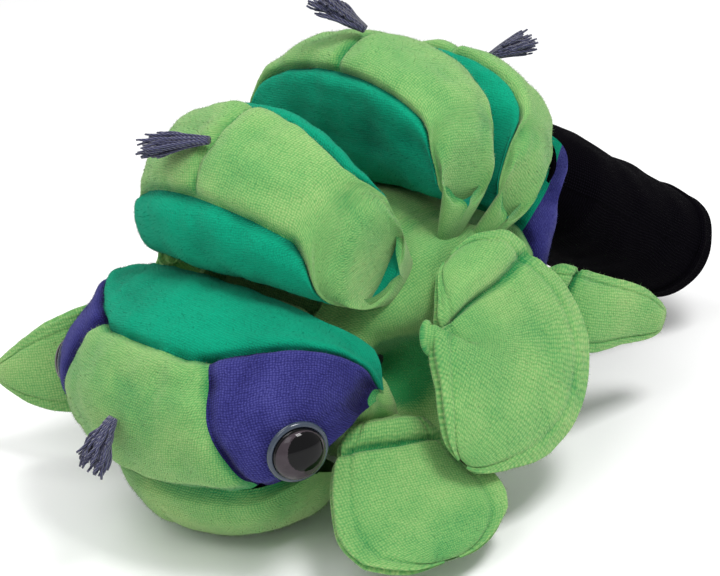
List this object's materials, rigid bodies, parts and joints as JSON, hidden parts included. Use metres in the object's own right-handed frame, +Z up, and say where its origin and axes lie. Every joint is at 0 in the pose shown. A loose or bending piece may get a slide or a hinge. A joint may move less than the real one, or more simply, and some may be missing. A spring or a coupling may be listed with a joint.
{
  "type": "moving mouth hand puppet",
  "caption": "Soft plush hand puppet with an opening mouth, stuffed humps along its back, floppy feet and a knitted arm cuff.",
  "frame": {"origin": "on the flat underside of the belly, under the line that the humps fan round", "axes": "+Z up, -Y the way the puppet looks, +X the side of its left feet"},
  "size_m": [0.2259, 0.3163, 0.186],
  "materials": {
    "green_velour": "short pile velour",
    "turquoise_velour": "short pile velour",
    "blue_velour": "short pile velour",
    "black_knit": "fine ribbed knit",
    "lining_cloth": "plain lining cloth",
    "navy_yarn": "cut yarn",
    "white_fibre": "polyester fibre filling",
    "eye_plastic": "polished",
    "washer_plastic": "plain",
    "mouth_board": "thin flexible board"
  },
  "bodies": {
    "body": {"belly_panel": "green_velour", "hand_lining": "lining_cloth", "hump_2_back_panel": "turquoise_velour", "hump_2_front_panel": "turquoise_velour", "hump_2_left_panel": "green_velour", "hump_2_right_panel": "green_velour", "hump_2_stuffing": "white_fibre", "hump_2_tuft": "navy_yarn", "left_side_panel": "green_velour", "left_tail_patch": "blue_velour", "right_side_panel": "green_velour", "right_tail_patch": "blue_velour", "saddle_panel": "green_velour", "tail_panel": "turquoise_velour"},
    "head": {"crown_panel": "turquoise_velour", "finger_pocket": "lining_cloth", "head_stuffing": "white_fibre", "left_cheek_strip": "green_velour", "left_eye": "eye_plastic", "left_eye_patch": "blue_velour", "left_eye_washer": "washer_plastic", "mouth_roof_board": "mouth_board", "mouth_roof_lining": "lining_cloth", "nose_tuft": "navy_yarn", "right_cheek_strip": "green_velour", "right_eye": "eye_plastic", "right_eye_patch": "blue_velour", "right_eye_washer": "washer_plastic", "snout_panel": "green_velour"},
    "jaw": {"jaw_panel": "green_velour", "thumb_pocket": "lining_cloth", "tongue_board": "mouth_board", "tongue_lining": "lining_cloth"},
    "hump_1": {"hump_1_back_panel": "turquoise_velour", "hump_1_front_panel": "turquoise_velour", "hump_1_left_panel": "green_velour", "hump_1_right_panel": "green_velour", "hump_1_stuffing": "white_fibre", "hump_1_tuft": "navy_yarn"},
    "hump_3": {"hump_3_back_panel": "turquoise_velour", "hump_3_front_panel": "turquoise_velour", "hump_3_left_panel": "green_velour", "hump_3_right_panel": "green_velour", "hump_3_stuffing": "white_fibre", "hump_3_tuft": "navy_yarn"},
    "cuff": {"cuff": "black_knit", "cuff_hem": "black_knit"},
    "left_front_foot": {"left_front_foot": "green_velour"},
    "left_middle_foot": {"left_middle_foot": "green_velour"},
    "left_rear_foot": {"left_rear_foot": "green_velour"},
    "right_front_foot": {"right_front_foot": "green_velour"},
    "right_middle_foot": {"right_middle_foot": "green_velour"},
    "right_rear_foot": {"right_rear_foot": "green_velour"}
  },
  "joints": [
    {"name": "head_nod", "type": "hinge", "parent": "body", "child": "head", "pos_m": [0, -0.043, 0.08], "axis": [1, 0, 0], "range_deg": [-2, 10]},
    {"name": "jaw_open", "type": "hinge", "parent": "head", "child": "jaw", "pos_m": [0, -0.07, 0.036], "axis": [1, 0, 0], "range_deg": [0, 30]},
    {"name": "hump_1_lean", "type": "hinge", "parent": "body", "child": "hump_1", "pos_m": [0, 0, 0.078], "axis": [1, 0, 0], "range_deg": [-0.8, 4]},
    {"name": "hump_3_lean", "type": "hinge", "parent": "body", "child": "hump_3", "pos_m": [0, 0, 0.078], "axis": [1, 0, 0], "range_deg": [-0.8, 0.96]},
    {"name": "cuff_bend", "type": "hinge", "parent": "body", "child": "cuff", "pos_m": [0, 0.081, 0.093], "axis": [1, 0, 0], "range_deg": [-10, 12]},
    {"name": "left_front_foot_swing", "type": "hinge", "parent": "body", "child": "left_front_foot", "pos_m": [0.058, -0.047, 0.048], "axis": [0, 0, -1], "range_deg": [0, 6]},
    {"name": "right_front_foot_swing", "type": "hinge", "parent": "body", "child": "right_front_foot", "pos_m": [-0.061, -0.041, 0.048], "axis": [0, 0, 1], "range_deg": [-8, 5]},
    {"name": "left_middle_foot_lift", "type": "hinge", "parent": "body", "child": "left_middle_foot", "pos_m": [0.06, -0.009, 0.099], "axis": [0, -1, 0], "range_deg": [0, 40]},
    {"name": "right_middle_foot_lift", "type": "hinge", "parent": "body", "child": "right_middle_foot", "pos_m": [-0.06, -0.009, 0.099], "axis": [0, 1, 0], "range_deg": [0, 40]},
    {"name": "left_rear_foot_swing", "type": "hinge", "parent": "body", "child": "left_rear_foot", "pos_m": [0.055, 0.039, 0.07], "axis": [0, 0, -1], "range_deg": [0, 25]},
    {"name": "right_rear_foot_swing", "type": "hinge", "parent": "body", "child": "right_rear_foot", "pos_m": [-0.055, 0.039, 0.07], "axis": [0, 0, 1], "range_deg": [0, 25]}
  ],
  "couplings": [
    {"joint": "hump_1_lean", "follows": "head_nod", "ratio": 0.4},
    {"joint": "hump_3_lean", "follows": "cuff_bend", "ratio": 0.08}
  ]
}
